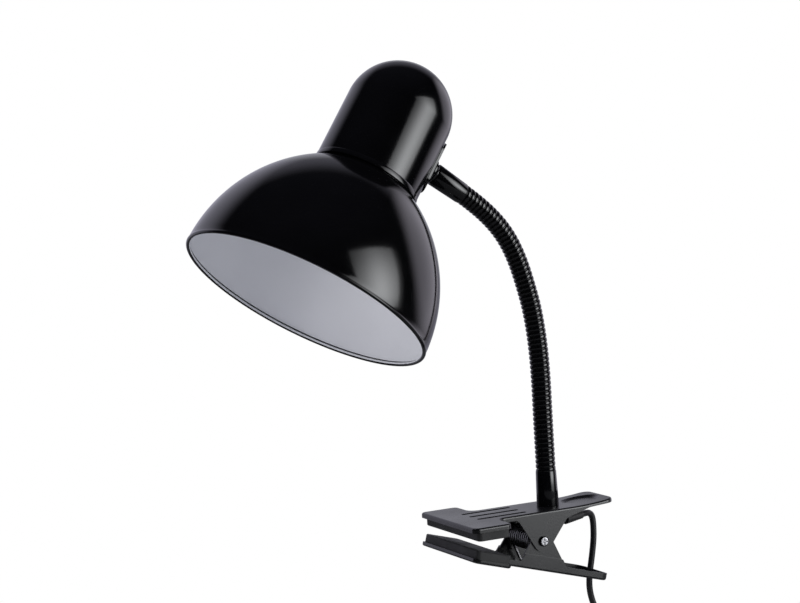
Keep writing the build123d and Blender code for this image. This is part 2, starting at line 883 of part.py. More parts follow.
def lampholder_body():
    """Tapered skirt of the lampholder, with a ledge for the insert."""
    joint = holder_joint()
    mouth = holder_mouth()
    ledge = joint - insert_height
    bore = shell_radius + shell_wall + loose
    seat = holder_radius - holder_wall
    return turned(
        (bore, mouth), (holder_mouth_radius, mouth), (holder_radius, ledge), (holder_radius, joint),
        (seat, joint), (seat, ledge), (bore, ledge),
    )


def lampholder_insert():
    """Ceramic disc that carries the contacts."""
    joint = holder_joint()
    radius = holder_radius - holder_wall - insert_play
    disc = bar(radius, joint - insert_height, joint)
    for y in (-radius / 2, radius / 2):
        disc -= Pos(0, y, 0) * bar(screw_radius, joint - insert_height - 1, joint + 1)
    return disc


def threaded_shell():
    """Brass shell that takes the bulb's screw cap."""
    low = holder_mouth() + shell_set_back
    high = holder_joint() - insert_height - contact_thickness - contact_spring - contact_clear
    return bar(shell_radius + shell_wall, low, high) - bar(shell_radius, low - 1, high + 1)


def centre_contact():
    """Sprung brass tongue under the insert."""
    top = holder_joint() - insert_height
    low = top - contact_thickness
    tip = low - contact_spring
    tongue = make_face(Polyline(
        (-contact_width, top), (0, top), (contact_width, tip + contact_thickness),
        (contact_width, tip), (0, low), (-contact_width, low), close=True,
    ))
    return across(tongue, contact_width / 2)


def holder_nipple():
    """Short threaded tube between the lampholder and the bracket."""
    end = bracket_top + nipple_nut_height + nipple_tail
    return nipple(holder_top() - holder_neck_height, end)


def cord_radii(points):
    """Largest arc at each corner of a route that its two runs allow."""
    radii = []
    for before, corner, after in zip(points, points[1:], points[2:]):
        into = Vector(*corner) - Vector(*before)
        out = Vector(*after) - Vector(*corner)
        half = math.radians(into.get_angle(out)) / 2
        radii.append(0.45 * min(into.length, out.length) / math.tan(half))
    return radii


def cord_tube(name, points):
    """A free stretch of cord along straight runs and tangent arcs."""
    radii = cord_radii(points)
    path = FilletPolyline(*points, radius=radii)
    tube = sweep(Plane(origin=path @ 0, z_dir=path % 0) * Circle(cord_radius), path=path)
    section = math.pi * cord_radius**2
    print(name, "length", round(path.length, 1), "volume over section times length",
          round(tube.volume / section / path.length, 4), "radii", [round(r, 1) for r in radii])
    return tube


# Route of each free stretch, by hand: what the photograph shows down to z -67, then its hanging end
exit_route = [
    (arm_x, 0, nipple_bottom()), (arm_x, 0, 0.8), (63.3, 0.1, -1.5), (65.6, 0.4, -2.8), (72.0, 0.9, -3.0),
    (95.0, 8.6, -2.7), (100.5, 11.0, -2.5), (104.3, 12.0, -3.6), (106.3, 12.2, -6.5), (106.6, 12.0, -12.0),
    (105.6, 12.0, -21.5), (102.6, 12.0, -35.0), (99.2, 12.1, -47.5), (99.5, 12.3, -58.0),
    (103.5, 12.5, -70.0), (106.5, 12.5, -80.0), (switch_x, switch_y, switch_top_z - switch_entry),
]
coil_x = switch_x - coil_radius
switch_bottom_z = switch_top_z - switch_length
coil_y = switch_y
middle_route = [
    (switch_x, switch_y, switch_bottom_z + switch_entry), (switch_x, 12.5, -150.0), (107.3, 12.5, -158.5),
    (switch_x, 12.5, -167.0), (coil_x + coil_radius, coil_y, coil_z + 2 * cord_radius),
]
coil_exit_radius = coil_radius + coil_pitch * (coil_turns_out - coil_turns_in)
slant = math.sqrt(0.5)
tail_start = (
    coil_x + slant * (coil_exit_radius + 2 * cord_radius), coil_y + coil_pitch,
    coil_z + slant * (coil_exit_radius - 2 * cord_radius),
)
tail_run = 22.0
plug_x = 121.0
plug_y = 17.0
plug_top_z = -207.0
tail_route = [
    tail_start, (tail_start[0] + slant * tail_run, tail_start[1], tail_start[2] - slant * tail_run),
    (plug_x, plug_y, -192.0), (plug_x, plug_y, plug_top_z),
]


def lamp_wire():
    """The cable from the head tube over the bracket and down to the lampholder."""
    height = swivel_height
    end = holder_joint() + 1
    top = bracket_top
    route = [
        (nipple_inner_end(), 0, height), (25.4, 0, height), (23.1, 0.5, height + 1.3),
        (21.9, 2.0, height + 3.9), (21.0, 6.5, height + 10.0), (19.5, 11.6, height + 17.0),
        (15.5, 12.6, top + 6.5), (8.0, 8.0, top + 13.0), (3.2, 3.2, top + 14.5), (0.6, 0.6, top + 12.0),
        (0, 0, top + 6.5), (0, 0, end),
    ]
    return cord_tube("lamp_wire", route)


def cord_sleeve():
    """Tapered rubber sleeve round the cord, along its straight run behind the clamp."""
    ends = [Vector(*exit_route[4]), Vector(*exit_route[5])]
    way = (ends[1] - ends[0]).normalized()
    start = ends[0] + way * ((sleeve_start_x - ends[0].X) / way.X)
    length = (sleeve_end_x - sleeve_start_x) / way.X
    bore = cord_radius + cord_play
    sleeve = turned((bore, 0), (sleeve_start_radius, 0), (sleeve_end_radius, length), (bore, length))
    return Plane(origin=start, z_dir=way) * sleeve


def coil_place(turns):
    """Centre of the coiled cord after a number of turns: in on one layer, out on the next."""
    inwards = min(turns, coil_turns_in)
    outwards = max(turns - coil_turns_in, 0)
    radius = coil_radius - coil_pitch * (inwards - outwards)
    climb = min(max(turns - coil_turns_in + 0.25, 0) / 0.5, 1)
    angle = -2 * math.pi * turns
    x = coil_x + radius * math.cos(angle)
    return Vector(x, coil_y + coil_pitch * climb, coil_z + radius * math.sin(angle))


def coil_way(turns):
    """Direction of the coiled cord after a number of turns."""
    if turns in (0, coil_turns_in + coil_turns_out):
        return Vector(-math.sin(2 * math.pi * turns), 0, -math.cos(2 * math.pi * turns))
    return (coil_place(turns + 0.02) - coil_place(turns - 0.02)).normalized()


def cord_coil():
    """The spare cord, wound flat in two layers."""
    total = coil_turns_in + coil_turns_out
    steps = round(total * 4)
    end = 2 * cord_radius
    edges = wound_path(
        lambda i: coil_place(total * i / steps), steps, lambda i: coil_way(total * i / steps), end, end
    )
    gap = least_gap(edges, 2 * cord_radius, 2 * coil_radius)
    length = sum(edge.length for edge in edges)
    print("coil: least gap to itself", round(gap, 2), "mm, length", round(length), "mm")
    return swept(edges, RegularPolygon(cord_radius, cord_sides))


def cord_tie():
    """Strap round all turns at the bottom of the coil."""
    inner_turn = coil_radius - coil_pitch * coil_turns_in - cord_radius
    near = math.sqrt(inner_turn**2 - (tie_width / 2) ** 2) - tie_play
    far = coil_radius + cord_radius + tie_play
    half_depth = coil_pitch / 2 + cord_radius + tie_play
    middle = Pos(coil_x, coil_y + coil_pitch / 2, coil_z - (near + far) / 2)
    inner = Box(tie_width, 2 * half_depth, far - near)
    outer = Box(tie_width, 2 * (half_depth + tie_thickness), far - near + 2 * tie_thickness)
    outer = fillet(outer.edges().filter_by(Axis.X), tie_thickness)
    return middle * (outer - inner)


def switch_block(grow):
    """The switch's outer form, or its inside where grow is negative, centred on the origin."""
    size = (switch_width + 2 * grow, switch_depth + 2 * grow, switch_length + 2 * grow)
    block = Box(*size)
    block = fillet(block.edges().filter_by(Axis.Y), switch_edge + grow)
    if grow == 0:
        rims = [e for e in block.edges() if abs(e.center().Y) > switch_depth / 2 - 0.01]
        block = chamfer(rims, 0.8)
    return block


def switch_shell():
    """Both halves of the switch housing as one hollow block with its cord holes."""
    shell = switch_block(0) - switch_block(-switch_wall)
    return shell - bar(cord_radius + cord_play, -switch_length, switch_length)


def switch_place():
    """Middle of the switch."""
    return Pos(switch_x, switch_y, switch_top_z - switch_length / 2)


def switch_top():
    """Near half of the switch housing, with the rocker's window and its pin cheeks."""
    half = Pos(0, -switch_depth / 2, 0) * Box(2 * switch_width, switch_depth, 2 * switch_length)
    shell = switch_shell() & half
    front = -switch_depth / 2
    window = Box(rocker_width + 2 * rocker_play, 3 * switch_wall, rocker_length + 2 * rocker_play)
    shell -= Pos(0, front, 0) * window
    cheek_x = rocker_width / 2 + rocker_play + switch_wall / 2
    pin_y = front + switch_wall + 2 * rocker_pin_radius
    for x in (-cheek_x, cheek_x):
        cheek = Box(switch_wall, 4 * rocker_pin_radius, 6 * rocker_pin_radius)
        shell += Pos(x, front + switch_wall + 2 * rocker_pin_radius - 0.2, 0) * cheek
    shell -= Pos(0, pin_y, 0) * Rot(0, 90, 0) * Cylinder(rocker_pin_radius + running, 2 * cheek_x + switch_wall)
    return switch_place() * shell


def switch_bottom():
    """Far half of the switch housing."""
    half = Pos(0, switch_depth / 2, 0) * Box(2 * switch_width, switch_depth, 2 * switch_length)
    return switch_place() * (switch_shell() & half)


def switch_rocker():
    """Rocker of the switch, on its own pins, one end pressed in."""
    front = -switch_depth / 2
    pin_y = front + switch_wall + 2 * rocker_pin_radius
    half = rocker_length / 2 - rocker_play
    rise = 1.2
    outline = make_face(Polyline(
        (-half, -rise - switch_wall), (0, -rise - 2 * rocker_pin_radius - 0.4), (half, -rise - switch_wall),
        (half - 1.5, 0.5), (0, 2.2), (-half + 1.5, 0.5), close=True,
    ))
    cap = extrude(Plane.YZ * (Rot(0, 0, 90) * outline), rocker_width / 2, both=True)
    reach = rocker_width / 2 + rocker_play + switch_wall - 0.2
    pins = Rot(0, 90, 0) * Cylinder(rocker_pin_radius, 2 * reach)
    return switch_place() * Pos(0, pin_y, 0) * Rot(rocker_tilt, 0, 0) * (cap + pins)


def plug_place():
    """Middle of the plug's cord end."""
    return Pos(plug_x, plug_y, plug_top_z)


def plug_body():
    """Flat two-pin plug, wide at its face and narrow at the cord, with grip ribs."""
    neck = RectangleRounded(plug_neck_width, plug_neck_depth, plug_neck_depth / 2 - 0.1)
    wide = RectangleRounded(plug_width, plug_depth, plug_corner)
    back = plug_length * 0.45
    body = loft([neck.face(), (Pos(0, 0, -back) * wide).face()], ruled=True)
    body += Pos(0, 0, -plug_length) * extrude(wide, plug_length - back)
    for i in range(4):
        ridge = Pos(0, 0, -back - 3 - 3.2 * i)
        for side in (-1, 1):
            groove_cut = Box(plug_width / 2, 1.2, 1.2)
            body -= ridge * Pos(0, side * plug_depth / 2, 0) * groove_cut
    for x in (-pin_spacing / 2, pin_spacing / 2):
        body -= Pos(x, 0, 0) * bar(pin_root_radius, -plug_length - 1, -plug_length + pin_root)
    return plug_place() * body


def plug_pins():
    """The two round pins, set in the plug's face."""
    pins = []
    for x in (-pin_spacing / 2, pin_spacing / 2):
        pin = bar(pin_radius, -plug_length - pin_length, -plug_length - pin_neck)
        pin += bar(pin_root_radius, -plug_length - pin_neck, -plug_length + pin_root)
        tip = [e for e in pin.edges() if e.center().Z < -plug_length - pin_length + 0.01]
        pins.append(plug_place() * Pos(x, 0, 0) * fillet(tip, pin_tip))
    return Compound(children=[Solid(pin.solid().wrapped) for pin in pins])


def main():
    """Every piece, each in its own file."""
    foot = Pos(arm_x, 0, 0)
    head = head_plane()
    last_tube = collar_start() + collar_length + nipple_grip
    inner_nut = nipple_inner_end() + nipple_tail
    pieces = {
        "upper_jaw": upper_jaw(),
        "upper_pad": upper_pad(),
        "lower_jaw": lower_jaw(),
        "lower_pad": lower_pad(),
        "pivot_screw": pivot_screw(),
        "pivot_nut": pivot_nut(),
        "torsion_spring": torsion_spring(),
        "base_ferrule": foot * Pos(0, 0, plate_top) * ferrule(),
        "base_nipple": foot * nipple(nipple_bottom(), plate_top + nipple_grip),
        "base_washer": foot * washer(washer_radius, plate_top - sheet - washer_height),
        "base_nut": foot * nipple_nut(nipple_bottom() + nipple_tail),
        "head_ferrule": head * on_side(Pos(0, 0, collar_start() + collar_length) * ferrule()),
        "swivel_collar": head * swivel_collar(),
        "head_nipple": head * on_side(nipple(nipple_inner_end(), last_tube)),
        "head_nut": head * on_side(nipple_nut(inner_nut)),
        "head_washer": head * on_side(washer(head_washer_radius, inner_nut + nipple_nut_height)),
        "saddle_plate": head * saddle_plate(),
        "shade_cap": head * shade_cap(),
        "shade_bell": head * shade_bell(),
        "lampholder_bracket": head * lampholder_bracket(),
        "lampholder_cap": head * lampholder_cap(),
        "lampholder_body": head * lampholder_body(),
        "lampholder_insert": head * lampholder_insert(),
        "threaded_shell": head * threaded_shell(),
        "centre_contact": head * centre_contact(),
        "holder_nipple": head * holder_nipple(),
        "holder_nut": head * nipple_nut(bracket_top),
        "lamp_wire": head * lamp_wire(),
        "cord_sleeve": cord_sleeve(),
        "cord_run_1": cord_tube("cord_run_1", exit_route),
        "cord_run_2": cord_tube("cord_run_2", middle_route),
        "cord_coil": cord_coil(),
        "cord_tie": cord_tie(),
        "cord_run_3": cord_tube("cord_run_3", tail_route),
        "switch_top": switch_top(),
        "switch_bottom": switch_bottom(),
        "switch_rocker": switch_rocker(),
        "plug_body": plug_body(),
        "plug_pins": plug_pins(),
    }
    for number in range(len(arm_turns)):
        pieces[f"gooseneck_{number + 1}"] = gooseneck(number)
        pieces[f"arm_cable_{number + 1}"] = arm_cable(number)
    for name, piece in pieces.items():
        export_step(piece, f"parts/{name}.step")


main()
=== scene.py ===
import math

import bmesh
import bpy
from mathutils import Matrix, Vector


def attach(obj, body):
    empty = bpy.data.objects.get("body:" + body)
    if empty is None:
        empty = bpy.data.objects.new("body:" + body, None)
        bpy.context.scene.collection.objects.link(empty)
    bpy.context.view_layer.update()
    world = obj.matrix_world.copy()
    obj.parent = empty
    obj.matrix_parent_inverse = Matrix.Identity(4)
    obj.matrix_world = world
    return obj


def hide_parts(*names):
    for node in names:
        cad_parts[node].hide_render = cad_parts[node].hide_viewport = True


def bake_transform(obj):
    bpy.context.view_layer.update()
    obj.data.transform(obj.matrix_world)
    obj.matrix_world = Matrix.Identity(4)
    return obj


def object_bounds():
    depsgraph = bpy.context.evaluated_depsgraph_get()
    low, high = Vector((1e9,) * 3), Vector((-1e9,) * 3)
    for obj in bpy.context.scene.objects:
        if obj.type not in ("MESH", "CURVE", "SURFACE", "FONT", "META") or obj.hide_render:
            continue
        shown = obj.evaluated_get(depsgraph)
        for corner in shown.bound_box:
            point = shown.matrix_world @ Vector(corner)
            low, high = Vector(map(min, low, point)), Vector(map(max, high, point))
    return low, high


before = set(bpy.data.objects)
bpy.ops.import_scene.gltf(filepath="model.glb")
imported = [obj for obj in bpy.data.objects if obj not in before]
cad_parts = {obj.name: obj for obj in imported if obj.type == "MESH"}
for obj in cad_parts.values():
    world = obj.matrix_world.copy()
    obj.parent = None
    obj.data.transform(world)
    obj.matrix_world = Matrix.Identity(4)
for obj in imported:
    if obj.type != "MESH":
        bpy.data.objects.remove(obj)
cad_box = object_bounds()
scene = bpy.context.scene
scene.view_settings.view_transform = "Standard"

# Camera. It stands in front of the clamp, to its left and a little above it, with a long lens,
# where the photograph was taken. It isn't shifted.
camera = bpy.data.objects.new("camera", bpy.data.cameras.new("camera"))
camera.data.lens = 85.5
camera.data.sensor_width = 36
camera_right = Vector((0.89798, -0.43563, -0.06206))
camera_up = Vector((0.08753, 0.03864, 0.99541))
camera_back = Vector((-0.43123, -0.89930, 0.07283))
turned = Matrix((camera_right, camera_up, camera_back)).transposed()
camera.matrix_world = Matrix.Translation((-0.5676, -1.1028, 0.2449)) @ turned.to_4x4()
scene.collection.objects.link(camera)
scene.camera = camera

# Floor and studio. A round pale floor under the lamp keeps its shadow and fades into the white of the
# surroundings. Tall soft screens stand behind the lamp on both sides, and the camera's side is dark,
# so that black enamel is bright only along its edges.
FLOOR_LEVEL = cad_box[0].z - 0.006
FLOOR_RADIUS = 1.15
FLOOR_WHITE = 0.9
FLOOR_REFLECTED = 0.22
AMBIENT = (0.335, 0.343, 0.39)


def add_node(tree, kind, settings={}, **inputs):
    """A node with its settings. Inputs go by socket name, spaces as underscores, and may be other nodes' sockets."""
    made = tree.nodes.new(kind)
    for key, value in settings.items():
        setattr(made, key, value)
    for key, value in inputs.items():
        socket = made.inputs[int(key[1:])] if key[1:].isdigit() else made.inputs[key.replace("_", " ")]
        if isinstance(value, bpy.types.NodeSocket):
            tree.links.new(value, socket)
        else:
            socket.default_value = value
    return made


floor_mesh = bpy.data.meshes.new("floor")
shape = bmesh.new()
bmesh.ops.create_circle(shape, cap_ends=True, segments=96, radius=FLOOR_RADIUS)
bmesh.ops.translate(shape, vec=(0, 0, FLOOR_LEVEL), verts=shape.verts)
shape.to_mesh(floor_mesh)
shape.free()
floor = bpy.data.objects.new("floor", floor_mesh)
scene.collection.objects.link(floor)
paper = bpy.data.materials.new("floor_paper")
paper.use_nodes = True
tree = paper.node_tree
tree.nodes.clear()
place = add_node(tree, "ShaderNodeTexCoord").outputs["Object"]
flat = add_node(tree, "ShaderNodeVectorMath", {"operation": "MULTIPLY"}, _0=place, _1=(1, 1, 0))
reach = add_node(tree, "ShaderNodeVectorMath", {"operation": "LENGTH"}, _0=flat.outputs[0])
fade = add_node(
    tree, "ShaderNodeMapRange", {"interpolation_type": "SMOOTHSTEP"},
    Value=reach.outputs["Value"], From_Min=0.3 * FLOOR_RADIUS, From_Max=0.72 * FLOOR_RADIUS,
)
path = add_node(tree, "ShaderNodeLightPath").outputs
share = add_node(tree, "ShaderNodeMath", {"operation": "MULTIPLY"}, _0=fade.outputs[0], _1=path["Is Camera Ray"])
tone = add_node(
    tree, "ShaderNodeMix", {"data_type": "FLOAT"}, _0=path["Is Glossy Ray"], _2=FLOOR_WHITE, _3=FLOOR_REFLECTED
)
matt = add_node(tree, "ShaderNodeBsdfDiffuse", Color=tone.outputs[0])
white = add_node(tree, "ShaderNodeEmission", Color=(1, 1, 1, 1), Strength=1)
mixed = add_node(tree, "ShaderNodeMixShader", _0=share.outputs[0], _1=matt.outputs[0], _2=white.outputs[0])
add_node(tree, "ShaderNodeOutputMaterial", Surface=mixed.outputs[0])
floor_mesh.materials.append(paper)

camera_side = Vector((camera_back.x, camera_back.y, 0)).normalized()
right_side = Vector((camera_right.x, camera_right.y, 0)).normalized()


def towards(azimuth, elevation):
    """A direction from the lamp: azimuth from the camera's side, positive to its right, in degrees."""
    a = math.radians(azimuth)
    e = math.radians(elevation)
    level = camera_side * math.cos(a) + right_side * math.sin(a)
    return level * math.cos(e) + Vector((0, 0, math.sin(e)))


world = bpy.data.worlds.new("studio")
scene.world = world
world.use_nodes = True
tree = world.node_tree
tree.nodes.clear()
way = add_node(tree, "ShaderNodeTexCoord").outputs["Generated"]
glow = None
# Each screen: its direction, the angles at which it is full and gone, and its colour
for azimuth, elevation, full, gone, tint in (
    (-148, 8, 20, 46, (0.56, 0.55, 0.66)),
    (134, 5, 16, 31, (0.90, 0.86, 0.98)),
    (180, 10, 30, 54, (0.26, 0.255, 0.31)),
    (180, 12, 8, 30, (0.53, 0.53, 0.60)),
    (180, 90, 5, 60, (0.03, 0.03, 0.04)),
):
    facing = add_node(
        tree, "ShaderNodeVectorMath", {"operation": "DOT_PRODUCT"}, _0=way, _1=towards(azimuth, elevation)
    )
    share = add_node(
        tree, "ShaderNodeMapRange", {"interpolation_type": "SMOOTHSTEP"},
        Value=facing.outputs["Value"], From_Min=math.cos(math.radians(gone)), From_Max=math.cos(math.radians(full)),
    ).outputs[0]
    screen = add_node(tree, "ShaderNodeVectorMath", {"operation": "MULTIPLY"}, _0=share, _1=tint).outputs[0]
    if glow is None:
        glow = screen
    else:
        glow = add_node(tree, "ShaderNodeVectorMath", {"operation": "MAXIMUM"}, _0=glow, _1=screen).outputs[0]
path = add_node(tree, "ShaderNodeLightPath")
soft = add_node(
    tree, "ShaderNodeMix", {"data_type": "VECTOR"}, _0=path.outputs["Is Glossy Ray"], _4=AMBIENT, _5=glow
).outputs[1]
colour = add_node(
    tree, "ShaderNodeMix", {"data_type": "VECTOR"}, _0=path.outputs["Is Camera Ray"], _4=soft, _5=(1, 1, 1)
).outputs[1]
sky = add_node(tree, "ShaderNodeBackground", Color=colour, Strength=1)
add_node(tree, "ShaderNodeOutputWorld", Surface=sky.outputs[0])


def softbox(name, azimuth, elevation, distance, low, high, radiance, tint=(1, 1, 1)):
    """A flat lamp that faces the head. Its corners are metres off that line: away from the camera's side, then up."""
    width, height = high[0] - low[0], high[1] - low[1]
    lamp = bpy.data.lights.new(name, "AREA")
    lamp.shape = "RECTANGLE"
    lamp.size = width
    lamp.size_y = height
    lamp.color = tint
    lamp.energy = radiance * math.pi * width * height
    holder = bpy.data.objects.new(name, lamp)
    way_out = towards(azimuth, elevation)
    turned = way_out.to_track_quat("Z", "Y").to_matrix().to_4x4()
    middle = Matrix.Translation(((low[0] + high[0]) / 2, (low[1] + high[1]) / 2, 0))
    holder.matrix_world = Matrix.Translation(Vector((-0.06, 0, 0.2)) + way_out * distance) @ turned @ middle
    scene.collection.objects.link(holder)
    return holder


# Key lamp. A large soft box to the right of the camera. It is brightest low down and in its middle, and
# its top edge slopes down away from the camera.
KEY_LOW = (-0.64, -1.0)
KEY_HIGH = (0.82, 0.80)
KEY_RADIANCE = 7.4
KEY_NARROWING = 2.05
KEY_TOP = (0.55, 0.60)
KEY_TOP_SLOPE = 0.33
key = softbox("key_lamp", 68, 12, 1.7, KEY_LOW, KEY_HIGH, KEY_RADIANCE)
key.data.use_nodes = True
tree = key.data.node_tree
tree.nodes.clear()
spot = add_node(tree, "ShaderNodeNewGeometry").outputs["Parametric"]
spot = add_node(tree, "ShaderNodeSeparateXYZ", _0=spot).outputs
side, level = [
    add_node(tree, "ShaderNodeMapRange", Value=spot[axis], To_Min=KEY_LOW[axis], To_Max=KEY_HIGH[axis]).outputs[0]
    for axis in (0, 1)
]
off_middle = add_node(
    tree, "ShaderNodeMath", {"operation": "MULTIPLY_ADD"}, _0=side, _1=KEY_NARROWING, _2=0.06
).outputs[0]
squared = add_node(
    tree, "ShaderNodeMath", {"operation": "MULTIPLY_ADD"}, _0=off_middle, _1=off_middle, _2=1.0
).outputs[0]
fades = add_node(tree, "ShaderNodeMath", {"operation": "DIVIDE"}, _0=1.0, _1=squared).outputs[0]
# Each fade: what it goes by, where it starts and ends, and the brightness there
for going_by, begin, end, first, final in (
    (level, -0.35, 0.75, 1, 0.22),
    (level, -0.86, -0.42, 0.28, 1),
    (side, 0.50, 0.66, 1, 0.16),
    (side, 0.66, 0.80, 1, 0),
):
    faded = add_node(
        tree, "ShaderNodeMapRange", {"interpolation_type": "SMOOTHSTEP"},
        Value=going_by, From_Min=begin, From_Max=end, To_Min=first, To_Max=final,
    ).outputs[0]
    fades = add_node(tree, "ShaderNodeMath", {"operation": "MULTIPLY"}, _0=fades, _1=faded).outputs[0]
top = add_node(tree, "ShaderNodeMath", {"operation": "MULTIPLY_ADD"}, _0=side, _1=KEY_TOP_SLOPE, _2=level).outputs[0]
below = add_node(
    tree, "ShaderNodeMapRange", {"interpolation_type": "SMOOTHSTEP"},
    Value=top, From_Min=KEY_TOP[0], From_Max=KEY_TOP[1], To_Min=1, To_Max=0,
).outputs[0]
fades = add_node(tree, "ShaderNodeMath", {"operation": "MULTIPLY"}, _0=fades, _1=below).outputs[0]
given_off = add_node(tree, "ShaderNodeEmission", Color=(0.96, 0.98, 1, 1), Strength=fades)
add_node(tree, "ShaderNodeOutputLight", Surface=given_off.outputs[0])

# Fill lamp. A smaller box to the left shines into the shade and isn't reflected in the enamel.
fill = softbox("fill_lamp", -64, -4, 1.5, (-0.35, -0.28), (0.35, 0.35), 5.8, (1, 0.99, 1))
fill.visible_glossy = False

# Cord. One black PVC lead of 4.4 mm comes out of the threaded tube under the arm, runs under the
# rear handle, hangs through its switch, is wound up in a flat coil and ends in its plug. A tapered
# rubber sleeve guards it behind the clamp.
CORD_RADIUS = 0.0022
exit_route = [
    (0.0620, 0, 0.0034), (0.0620, 0, 0.0008), (0.0633, 0.0001, -0.0015), (0.0656, 0.0004, -0.0028),
    (0.0720, 0.0009, -0.0030), (0.0930, 0.0080, -0.0027), (0.0985, 0.0104, -0.0026),
    (0.1018, 0.0116, -0.0037), (0.1036, 0.0120, -0.0068), (0.1040, 0.0120, -0.0125),
    (0.1036, 0.0120, -0.0220), (0.1012, 0.0120, -0.0350), (0.0984, 0.0121, -0.0475),
    (0.0982, 0.0123, -0.0580), (0.1015, 0.0125, -0.0695), (0.1065, 0.0125, -0.0780),
    (0.1065, 0.0125, -0.0880),
]
middle_route = [
    (0.1065, 0.0125, -0.1410), (0.1065, 0.0125, -0.1500), (0.1073, 0.0125, -0.1585), (0.1065, 0.0125, -0.1670),
]
tail_route = [
    (0.09655, 0.0174, -0.158972), (0.112106, 0.0174, -0.174529), (0.1210, 0.0170, -0.1920),
    (0.1210, 0.0170, -0.2075),
]
COIL_CENTRE = Vector((0.0693, 0.0125, -0.180))
COIL_RADIUS = 0.0372
COIL_PITCH = 0.0049
TURNS_IN = 3.75
TURNS_OUT = 3.125
POINTS_PER_TURN = 12


def coil_route():
    """Control points of the wound cord: in on the near layer, out on the far one."""
    points = []
    total = TURNS_IN + TURNS_OUT
    count = math.ceil(total * POINTS_PER_TURN)
    for i in range(count + 1):
        turns = total * i / count
        radius = COIL_RADIUS - COIL_PITCH * (min(turns, TURNS_IN) - max(turns - TURNS_IN, 0))
        climb = min(max((turns - TURNS_IN + 0.25) / 0.5, 0), 1)
        angle = -2 * math.pi * turns
        points.append(COIL_CENTRE + Vector((
            radius * math.cos(angle), COIL_PITCH * climb, radius * math.sin(angle)
        )))
    return points


def free_cord(name, points, radius):
    """A round cord along one smooth spline with these control points."""
    curve = bpy.data.curves.new(name, "CURVE")
    curve.dimensions = "3D"
    curve.bevel_depth = radius
    curve.bevel_resolution = 4
    curve.use_fill_caps = True
    spline = curve.splines.new("NURBS")
    spline.points.add(len(points) - 1)
    for point, spot in zip(spline.points, points):
        point.co = (*spot, 1)
    spline.order_u = 3
    spline.use_endpoint_u = True
    spline.resolution_u = 8
    spline.use_smooth = True
    made = bpy.data.objects.new(name, curve)
    scene.collection.objects.link(made)
    return made


def surface_group():
    """Shared look of painted, moulded and drawn surfaces: uneven gloss, fine relief and shades of colour."""
    group = bpy.data.node_groups.new("surface_relief", "ShaderNodeTree")
    for name, kind, value in (
        ("Colour", "NodeSocketColor", (0.01, 0.01, 0.01, 1)),
        ("Other Colour", "NodeSocketColor", (0.02, 0.02, 0.02, 1)),
        ("Patch Scale", "NodeSocketFloat", 40), ("Smoothest", "NodeSocketFloat", 0.1),
        ("Roughest", "NodeSocketFloat", 0.2), ("Grain Scale", "NodeSocketFloat", 900),
        ("Grain Depth", "NodeSocketFloat", 0.00001),
    ):
        made = group.interface.new_socket(name, in_out="INPUT", socket_type=kind)
        made.default_value = value
    for name, kind in (("Colour", "NodeSocketColor"), ("Roughness", "NodeSocketFloat"), ("Normal", "NodeSocketVector")):
        group.interface.new_socket(name, in_out="OUTPUT", socket_type=kind)
    given = add_node(group, "NodeGroupInput").outputs
    spot = add_node(group, "ShaderNodeTexCoord").outputs["Object"]
    patches = add_node(
        group, "ShaderNodeTexNoise", Vector=spot, Scale=given["Patch Scale"], Detail=4.0, Roughness=0.55
    ).outputs[0]
    spread = add_node(group, "ShaderNodeMapRange", Value=patches, From_Min=0.35, From_Max=0.65).outputs[0]
    colour = add_node(
        group, "ShaderNodeMix", {"data_type": "RGBA"}, _0=spread, _6=given["Colour"], _7=given["Other Colour"]
    ).outputs[2]
    gloss = add_node(
        group, "ShaderNodeMapRange", Value=spread, To_Min=given["Smoothest"], To_Max=given["Roughest"]
    ).outputs[0]
    grain = add_node(
        group, "ShaderNodeTexNoise", Vector=spot, Scale=given["Grain Scale"], Detail=3.0, Roughness=0.5
    ).outputs[0]
    relief = add_node(
        group, "ShaderNodeBump", Strength=1.0, Distance=given["Grain Depth"], Height=grain
    ).outputs[0]
    add_node(group, "NodeGroupOutput", Colour=colour, Roughness=gloss, Normal=relief)
    return group


relief_group = surface_group()


def finish_material(name, colour, other, smoothest, roughest, patches, grain, depth, metal=0.0, **sockets):
    """A material from the shared look. Sockets are constants on its shader."""
    material = bpy.data.materials.new(name)
    material.use_nodes = True
    nodes = material.node_tree
    nodes.nodes.clear()
    look = add_node(
        nodes, "ShaderNodeGroup", {"node_tree": relief_group}, Colour=(*colour, 1), Other_Colour=(*other, 1),
        Patch_Scale=patches, Smoothest=smoothest, Roughest=roughest, Grain_Scale=grain, Grain_Depth=depth,
    ).outputs
    shader = add_node(
        nodes, "ShaderNodeBsdfPrincipled", Base_Color=look["Colour"], Roughness=look["Roughness"],
        Normal=look["Normal"], Metallic=metal, **sockets,
    )
    add_node(nodes, "ShaderNodeOutputMaterial", Surface=shader.outputs[0])
    return material


def dress(material, *names):
    """Gives CAD nodes a material."""
    for name in names:
        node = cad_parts[name]
        for holder in node.material_slots:
            holder.material = material


